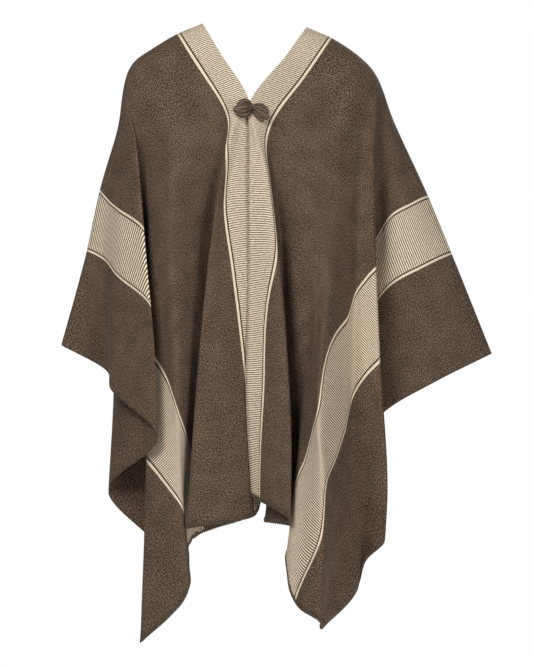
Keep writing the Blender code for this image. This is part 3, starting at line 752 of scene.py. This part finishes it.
# ---- yarn and rolled wool, cm ----
STRAND_PITCH = 0.24
YARN_FLECK = 3.2            # contrast of the flecks
YARN_TONE = 0.32            # 0 is the yarn's dark colour, 1 its light one
PLEATS = 5                  # round a roll of the toggle
PLEAT_SHADE_TWIST = 0.17          # how far the painted shade of a pleat winds round its roll, cm for each cm along it
PLEAT_SHADE_FADE = 0.25           # share of its painted shade that a pleat loses in each cm
PLEAT_SHADE_MIDDLE = 0.35         # depth in a pleat at which the painted shade is nil; deeper is painted darker, shallower lighter


def cloth_material():
    """Brown heathered wool with ribbed cream bands, each edged by a dark and an ivory line."""
    made, shader, place = start_material("handwoven_wool", "cloth", 0.95, 0.06)
    axes = {"Vector": place}
    u = place.node("SeparateXYZ", "X", axes)
    v = place.node("SeparateXYZ", "Y", axes).math("ABSOLUTE")
    picks = place.node("UVMap", "UV", {}, uv_map="picks")
    picks = place.node("SeparateXYZ", "Y", {"Vector": picks}) / CM

    def noise(scale, detail=2.0, rough=0.6, stretch=(1.0, 1.0, 1.0)):
        where = place.node("VectorMath", 0, {0: place, 1: stretch}, operation="MULTIPLY")
        sizes = {"Vector": where, "Scale": scale, "Detail": detail, "Roughness": rough}
        return place.node("TexNoise", "Fac", sizes, noise_dimensions="3D")

    wander = (noise(0.45) - 0.5) * LINE_WANDER
    u_line = u + wander
    cream = sum(u_line.between(low, high, LINE_SOFTNESS) for low, high in CREAM_BANDS)
    dark = sum(u_line.between(low, high, LINE_SOFTNESS) for low, high in DARK_LINES)
    ivory = sum(u_line.between(low, high, LINE_SOFTNESS) for low, high in IVORY_LINES)
    hem_edge = PANEL_DROP - HEM_BORDER
    border = v.over(hem_edge, BORDER_SOFTNESS)
    hem_line = cream * v.between(hem_edge - HEM_LINE, hem_edge, BORDER_SOFTNESS)

    # Threads: brown flecks of many shades, and bands ribbed by pairs of cream and brown picks.
    fleck = noise(4.3, 1.0, 0.6)
    fine = noise(6.5, 1.0, 0.6)
    cloud = noise(0.22, 3.0, 0.55)
    pick_fleck = noise(2.8, 1.0, 0.6, (0.8, 1.5, 1.0))
    twill = (u + v).sine(TWILL_PITCH)
    rib = (picks + (noise(1.2) - 0.5) * 0.10).sine(RIB_PITCH)
    crisp = u.over(2 * BAND_EDGE, 1.0) + RIB_CONTRAST
    broken = (rib - 0.5) * crisp + 0.5 + (pick_fleck - 0.5) * 1.2 + (fine - 0.5) * 0.8

    heather = (fleck - 0.5) * 2.0 + (fine - 0.5) * 2.4 + (cloud - 0.5) * 0.4 + twill * 0.08 + 0.46
    brown = heather.node("ValToRGB", "Color", {"Fac": heather}, stops=(
        (0.05, BROWN_DARK),
        (0.50, BROWN),
        (1.0, BROWN_LIGHT),
    ))
    band = broken.mix(CREAM_SHADE, CREAM)
    line = (fleck * 1.2 - 0.1).mix(IVORY_SHADE, IVORY)
    colour = cream.mix(brown, band)
    colour = (ivory + hem_line).mix(colour, line)
    colour = dark.mix(colour, LINE_BROWN)
    colour = border.mix(colour, brown)
    shader.id_data.links.new(colour.socket, shader.inputs["Base Color"])

    plain = 1 - cream
    height = plain * (twill * 0.25 + fleck * 0.9) + cream * (rib * 0.9 + pick_fleck * 0.5)
    height = height + ivory * 0.5 + fine * 0.6
    bump = height.node("Bump", "Normal", {"Height": height, "Strength": 0.5, "Distance": RELIEF})
    shader.id_data.links.new(bump.socket, shader.inputs["Normal"])
    return made


def yarn_material(name, dark, light, twist, girth, pleats=0.0):
    """Spun wool: strands that wind round the piece, with v along it in the UV map.

    pleats is how much painted shade darkens the cloth in the pleats of a roll, which open out along it;
    their crests get a little painted light.
    """
    made, shader, place = start_material(name, "along", 0.95, 0.1)
    place = place.node("VectorMath", 0, {0: place, 1: (girth, 1.0, 1.0)}, operation="MULTIPLY")
    around = place.node("SeparateXYZ", "X", {"Vector": place})
    along = place.node("SeparateXYZ", "Y", {"Vector": place})
    sizes = {"Vector": place, "Scale": 3.5, "Detail": 3.0, "Roughness": 0.7}
    fleck = place.node("TexNoise", "Fac", sizes)
    strand = (along + around * twist).sine(STRAND_PITCH)
    # Painted shade in the roll's pleats: darker colour in their valleys, a little lighter on their crests.
    pleat_shade_wave = (around + along * PLEAT_SHADE_TWIST).sine(girth / PLEATS) * (1 - along * PLEAT_SHADE_FADE)
    shade = strand * 0.25 + (fleck - 0.5) * YARN_FLECK + YARN_TONE + pleats * (PLEAT_SHADE_MIDDLE - pleat_shade_wave)
    colour = shade.mix(dark, light)
    shader.id_data.links.new(colour.socket, shader.inputs["Base Color"])
    height = strand * 0.7 + fleck * 0.6
    bump = height.node("Bump", "Normal", {"Height": height, "Strength": 0.6, "Distance": RELIEF})
    shader.id_data.links.new(bump.socket, shader.inputs["Normal"])
    return made


def floor_material():
    made = bpy.data.materials.new("pale_floor")
    made.use_nodes = True
    shader = made.node_tree.nodes["Principled BSDF"]
    shader.inputs["Base Color"].default_value = (0.93, 0.93, 0.93, 1.0)
    shader.inputs["Roughness"].default_value = 0.9
    return made


def new_piece(name, bm, surface):
    """Turn a bmesh into a piece that rides with the garment."""
    mesh = bpy.data.meshes.new(name)
    bm.to_mesh(mesh)
    bm.free()
    mesh.materials.append(surface)
    mesh.shade_smooth()
    piece = bpy.data.objects.new(name, mesh)
    bpy.context.scene.collection.objects.link(piece)
    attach(piece, "root")
    return piece


def slant_picks(grid, side):
    """Which weft pick lies at each place, as its v, cm, with the slant of the inner band."""
    u, v = grid[..., 0], grid[..., 1]
    column = 1 if side > 0 else 2
    slant, side_picks = (np.interp(abs(v), [row[0] for row in table], [row[column] for row in table])
                         for table in (PICK_SLANT, SIDE_PICKS))
    inner_picks = abs(v) + slant * np.minimum(u, BAND_EDGE)
    return np.sign(v) * np.where(u < 2 * BAND_EDGE, inner_picks, side_picks)


def make_cloth(name, grid, side, surface):
    """One handwoven length, with its place in the cloth and its picks in two UV maps."""
    bm = bmesh.new()
    cloth_uv = bm.loops.layers.uv.new("cloth")
    picks_uv = bm.loops.layers.uv.new("picks")
    picks = slant_picks(grid, side)
    verts = [[bm.verts.new(place[2:] * CM) for place in row] for row in grid]
    rows, columns = len(grid), len(grid[0])
    for row in range(rows - 1):
        for column in range(columns - 1):
            corners = ((row, column), (row, column + 1), (row + 1, column + 1), (row + 1, column))
            face = bm.faces.new([verts[r][c] for r, c in corners])
            for loop, (r, c) in zip(face.loops, corners):
                loop[cloth_uv].uv = grid[r][c][:2] * CM
                loop[picks_uv].uv = (grid[r][c][0] * CM, picks[r][c] * CM)
    bmesh.ops.remove_doubles(bm, verts=bm.verts, dist=MERGE_DISTANCE)
    bmesh.ops.recalc_face_normals(bm, faces=bm.faces)
    cloth = new_piece(name, bm, surface)
    wall = cloth.modifiers.new("cloth thickness", "SOLIDIFY")
    wall.thickness = CLOTH_THICKNESS * CM
    wall.offset = 0.0
    wall.solidify_mode = "NON_MANIFOLD"
    wall.nonmanifold_thickness_mode = "FIXED"
    return cloth


ANY_DIRECTION = (0.31, 0.42, 0.85)      # it only has to differ from the direction of each tube


def add_tube(bm, path, radii, sides):
    """A tube along the path. radii is one number, or a row of them round each point, in cm."""
    along_uv = bm.loops.layers.uv.verify()
    path = np.asarray(path, float)
    count = len(path)
    radii = np.broadcast_to(radii, (count, sides))
    tangents = np.gradient(path, axis=0)
    tangents /= np.linalg.norm(tangents, axis=1, keepdims=True)
    side = np.cross(tangents[0], ANY_DIRECTION)
    turns = np.linspace(0, 2 * math.pi, sides, endpoint=False)
    rings = []
    lengths = np.concatenate([[0.0], np.cumsum(np.linalg.norm(np.diff(path, axis=0), axis=1))])
    for point, tangent, ring_radii in zip(path, tangents, radii):
        side = side - tangent * np.dot(side, tangent)
        side = side / np.linalg.norm(side)
        other = np.cross(tangent, side)
        rings.append([bm.verts.new((point + radius * (math.cos(t) * side + math.sin(t) * other)) * CM)
                      for radius, t in zip(ring_radii, turns)])
    for index in range(count - 1):
        here, there = rings[index], rings[index + 1]
        near, far = lengths[index], lengths[index + 1]
        for k in range(sides):
            n = (k + 1) % sides
            face = bm.faces.new((here[k], here[n], there[n], there[k]))
            spots = ((k, near), (k + 1, near), (k + 1, far), (k, far))
            for loop, (turn, distance) in zip(face.loops, spots):
                loop[along_uv].uv = (turn / sides * CM, distance * CM)
    bm.faces.new(reversed(rings[0]))
    bm.faces.new(rings[-1])


def start_tubes():
    bm = bmesh.new()
    bm.loops.layers.uv.new("along")
    return bm


# ---- hem stitches, cm ----
STITCH_STEP = 0.40
STITCH_HEIGHT = 0.80
STITCH_LEAN = 0.16
STITCH_RADIUS = 0.10
STITCH_SIDES = 5
FIRST_STITCH = 0.7          # from the hem's end, in steps
HEM_NUDGE = 0.1             # step along the hem for its direction
STITCH_WAVES = ((0.18, 2.4), (0.1, 5.1))    # how unevenly high they are: share, turn for each stitch
THREAD_PROUD = 0.55         # how far a thread's middle stands off the cloth, in its own radii


def hem_stitches(name, hem, inside, normals, surface):
    """Whip stitches over one hem. hem and inside are matching places on the edge and above it."""
    bm = start_tubes()
    lengths = np.concatenate([[0.0], np.cumsum(np.linalg.norm(np.diff(hem, axis=0), axis=1))])

    def on_edge(values, where):
        return np.array([np.interp(where, lengths, values[:, k]) for k in range(3)])

    for index in range(int(lengths[-1] / STITCH_STEP) - 1):
        where = (index + FIRST_STITCH) * STITCH_STEP
        edge = on_edge(hem, where)
        ahead = on_edge(hem, where + HEM_NUDGE) - edge
        ahead /= np.linalg.norm(ahead)
        up = on_edge(inside, where) - edge
        up /= np.linalg.norm(up)
        out = on_edge(normals, where)
        out /= np.linalg.norm(out)
        reach = STITCH_HEIGHT * sum((share * math.sin(index * turn) for share, turn in STITCH_WAVES), 1)
        proud = CLOTH_THICKNESS / 2 + STITCH_RADIUS * THREAD_PROUD
        lean = STITCH_LEAN * ahead
        path = [
            edge + up * reach + out * (proud - 0.06) + lean * 2,
            edge + up * reach * 0.75 + out * proud + lean * 1.4,
            edge + up * reach * 0.3 + out * (proud + 0.02) + lean * 0.6,
            edge - up * 0.04 + out * proud * 0.75,
            edge - up * 0.10,
            edge - up * 0.04 - out * proud * 0.75,
            edge + up * reach * 0.3 - out * (proud + 0.02) - lean * 0.6,
            edge + up * reach * 0.75 - out * proud - lean * 1.4,
            edge + up * reach - out * (proud - 0.06) - lean * 2,
        ]
        add_tube(bm, path, STITCH_RADIUS, STITCH_SIDES)
    return new_piece(name, bm, surface)


# ---- seam down the centre back, cm ----
SEAM_STITCH_STEP = 0.7
SEAM_STITCH_REACH = 0.32
SEAM_STITCH_RADIUS = 0.06
SEAM_STITCH_SIDES = 6
# The path of a stitch. Columns: share of its reach, how far along in steps, and how far proud.
SEAM_STITCH = (
    (-1, 0.0, 0.12),
    (-0.6, 0.12, 0.17),
    (0.6, 0.4, 0.17),
    (1, 0.52, 0.12),
)


def seam_stitches(left, right, surface):
    """Flat stitches that lace the two lengths together down the centre back."""
    bm = start_tubes()
    below_neck = [row for row in range(len(left)) if -left[row, -1, 1] > BACK_NECK_DROP]
    left_edge, right_edge = left[below_neck, -1, 2:], right[below_neck, -1, 2:]
    lengths = np.concatenate([[0.0], np.cumsum(np.linalg.norm(np.diff(left_edge, axis=0), axis=1))])
    middle = (left_edge + right_edge) / 2
    for index in range(int(lengths[-1] / SEAM_STITCH_STEP)):
        points = []
        for reach, down, proud in SEAM_STITCH:
            where = (index + down) * SEAM_STITCH_STEP
            point = np.array([np.interp(where, lengths, middle[:, k]) for k in range(3)])
            points.append(point + (reach * SEAM_STITCH_REACH, proud, 0.0))
        add_tube(bm, points, SEAM_STITCH_RADIUS, SEAM_STITCH_SIDES)
    return new_piece("back_seam_stitches", bm, surface)


# ---- toggle, cm ----
# Rolls of cloth that leave the pinch between the knot and its loop. Columns of a place on a roll:
# x, z, how far it stands forward of its half's middle, and its radius.
Roll = namedtuple("Roll", "name places")
KNOT_ROLLS = (
    Roll("middle of the knot", (
        (-0.20, -16.38, 0.15, 0.34),
        (-1.20, -16.66, 0.30, 0.74),
        (-2.35, -16.75, 0.25, 0.90),
        (-3.82, -16.95, 0.00, 0.62),
    )),
    Roll("top of the knot", (
        (-0.30, -16.05, 0.10, 0.28),
        (-1.10, -15.55, 0.05, 0.66),
        (-1.95, -15.62, 0.00, 0.72),
        (-3.15, -16.35, 0.00, 0.45),
    )),
    Roll("foot of the knot", (
        (-0.35, -16.75, 0.05, 0.30),
        (-1.00, -17.45, 0.05, 0.62),
        (-1.95, -17.68, 0.05, 0.68),
        (-3.40, -17.25, 0.00, 0.46),
    )),
)
LOOP_ROLLS = (
    Roll("broad end of the loop", (
        (-0.02, -16.40, 0.20, 0.28),
        (0.80, -16.90, 0.40, 0.58),
        (1.72, -17.60, 0.50, 0.76),
        (2.88, -18.58, 0.15, 0.50),
    )),
    Roll("foot of the loop", (
        (-0.02, -16.66, 0.10, 0.24),
        (0.42, -17.45, 0.10, 0.48),
        (0.98, -18.26, 0.00, 0.52),
        (1.95, -19.02, -0.10, 0.40),
    )),
    Roll("free strand of the loop", (
        (-0.02, -16.20, 0.10, 0.20),
        (0.70, -15.88, -0.10, 0.30),
        (1.52, -16.02, -0.20, 0.34),
        (2.24, -16.48, -0.30, 0.36),
        (2.58, -17.15, -0.30, 0.34),
        (2.62, -17.80, -0.20, 0.26),
    )),
    Roll("wrap over the pinch", (
        (-0.80, -15.80, 0.55, 0.20),
        (-0.12, -16.20, 0.75, 0.34),
        (0.34, -16.85, 0.65, 0.24),
    )),
)
KNOT_DEPTH = 1.15           # depth of the rolls from front to back, as a share of their height
LOOP_DEPTH = 0.70
ROLL_POINTS = 40
ROLL_SIDES = 32
END_ROUNDNESS = 6           # higher makes the ends of a roll blunter
PLEAT_DEPTH = 0.20          # where they run into the pinch, as a share of the radius
PLEAT_TURN = 2.0            # radians that the wave of the pleats shifts over half a roll
ROLL_END = 0.99             # 1 would close a roll's end to a point


def toggle_half(name, node, rolls, depth, surface):
    """One half of the toggle from its rolls, which are gathered into pleats at the pinch."""
    low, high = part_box(node)
    middle = (low[1] + high[1]) / 2 / CM
    bm = start_tubes()
    turns = np.linspace(0, 2 * math.pi, ROLL_SIDES, endpoint=False)
    for roll in rolls:
        x, z, forward, radius = np.array(roll.places).T
        table = np.column_stack([x, -forward, z, radius])
        knots = np.arange(len(table), dtype=float)
        slopes = smooth_tangents(knots, table)
        points = follow(knots, table, slopes, slopes, np.linspace(0, knots[-1], ROLL_POINTS))
        t = np.linspace(-ROLL_END, ROLL_END, ROLL_POINTS)[:, None]
        gather = 1 - PLEAT_DEPTH * (1 - t) / 2 * (1 + np.cos(PLEATS * turns + PLEAT_TURN * t))
        radii = points[:, 3:] * np.sqrt(1 - np.abs(t) ** END_ROUNDNESS) * gather
        add_tube(bm, points[:, :3], radii, ROLL_SIDES)
    for vert in bm.verts:
        vert.co.y = vert.co.y * depth + middle * CM
    half = new_piece(name, bm, surface)
    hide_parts(node)


# ---- studio, metres ----
SHOULDER_HEIGHT = 1.42      # of the shoulder line above the floor
CAMERA_DISTANCE = 6.0
CAMERA_TARGET = (0.024, 0.0, -0.583)
PICTURE_WIDTH = 533
METRES_PER_PIXEL = 0.0019
SKY_LIGHT = 0.09            # what the plain backdrop sheds on the cloth
BACKDROP_GLOW = 1.0         # how bright it looks itself
FLOOR_RADIUS = 1.8
FLOOR_SIDES = 96
LIGHT_TARGET = (0.0, 0.0, -0.55)
# Columns: name, place, size, power.
LIGHTS = (
    ("key light", (-1.2, -2.3, 1.3), 1.2, 68),
    ("fill light", (2.3, -4.0, -0.3), 1.5, 84),
    ("back light", (1.4, 3.4, 1.3), 2.0, 150),
)


def aim(thing, target):
    direction = Vector(target) - thing.location
    thing.rotation_euler = direction.to_track_quat("-Z", "Y").to_euler()


def add_light(name, place, size, power):
    lamp = bpy.data.lights.new(name, "AREA")
    lamp.size = size
    lamp.energy = power
    thing = bpy.data.objects.new(name, lamp)
    thing.location = place
    bpy.context.scene.collection.objects.link(thing)
    aim(thing, LIGHT_TARGET)


def make_studio():
    scene = bpy.context.scene
    scene.view_settings.view_transform = "Standard"
    lens = bpy.data.cameras.new("camera")
    lens.sensor_fit = "HORIZONTAL"
    lens.sensor_width = 36
    lens.lens = lens.sensor_width * CAMERA_DISTANCE / (PICTURE_WIDTH * METRES_PER_PIXEL)
    camera = bpy.data.objects.new("camera", lens)
    camera.location = Vector(CAMERA_TARGET) - Vector((0.0, CAMERA_DISTANCE, 0.0))
    scene.collection.objects.link(camera)
    aim(camera, CAMERA_TARGET)
    scene.camera = camera

    for name, place, size, power in LIGHTS:
        add_light(name, place, size, power)
    world = bpy.data.worlds.new("soft studio")
    world.use_nodes = True
    tree = world.node_tree
    sky = tree.nodes["Background"]
    sky.inputs["Color"].default_value = (1.0, 1.0, 1.0, 1.0)
    ray = Value(tree, tree.nodes.new("ShaderNodeLightPath").outputs["Is Camera Ray"])
    tree.links.new((ray * (BACKDROP_GLOW - SKY_LIGHT) + SKY_LIGHT).socket, sky.inputs["Strength"])
    scene.world = world

    bm = bmesh.new()
    bmesh.ops.create_circle(bm, cap_ends=True, segments=FLOOR_SIDES, radius=FLOOR_RADIUS)
    mesh = bpy.data.meshes.new("floor")
    bm.to_mesh(mesh)
    bm.free()
    mesh.materials.append(floor_material())
    floor = bpy.data.objects.new("floor", mesh)
    floor.location.z = -SHOULDER_HEIGHT
    scene.collection.objects.link(floor)


def add_length(name, node, front, back, shoulder, side, creases, wool, thread):
    """One length with the stitches of both its hems. Returns its grid."""
    grid = drape(front, back, shoulder, side)
    outward = grid_normals(grid[..., 2:]) * -side
    grid[..., 2:] += outward * crease_relief(grid[..., 0], grid[..., 1], creases)[..., None]
    cloth = make_cloth(name, grid, side, wool)
    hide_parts(node)
    places = grid[..., 2:]
    normals = grid_normals(places)
    at_corner = np.flatnonzero((grid[-1, :, 0] == PANEL_WIDTH) & (abs(grid[-1, :, 1]) == PANEL_DROP))
    for hem_name, columns in (("front", slice(0, at_corner[0] + 1)), ("back", slice(at_corner[-1], None))):
        hem_stitches(f"{name}_{hem_name}_hem", places[-1, columns], places[-2, columns],
                                 normals[-1, columns], thread)
    return grid


def build():
    wool = cloth_material()
    thread = yarn_material("brown_thread", THREAD_DARK, THREAD_LIGHT, twist=0.3, girth=0.6)
    # The rolled wool has painted shade in the valleys of its pleats.
    rolled = yarn_material("rolled_brown_wool", ROLLED_DARK, ROLLED_LIGHT, twist=0.9, girth=4.5, pleats=0.75)
    left = add_length("left_cloth", "left_panel", LEFT_FRONT, LEFT_BACK, LEFT_SHOULDER, 1,
                      LEFT_CREASES, wool, thread)
    right = add_length("right_cloth", "right_panel", RIGHT_FRONT, RIGHT_BACK, RIGHT_SHOULDER, -1,
                       RIGHT_CREASES, wool, thread)
    seam_stitches(left, right, thread)
    toggle_half("toggle_knot", "toggle_button", KNOT_ROLLS, KNOT_DEPTH, rolled)
    toggle_half("toggle_loop_roll", "toggle_loop", LOOP_ROLLS, LOOP_DEPTH, rolled)
    make_studio()


build()
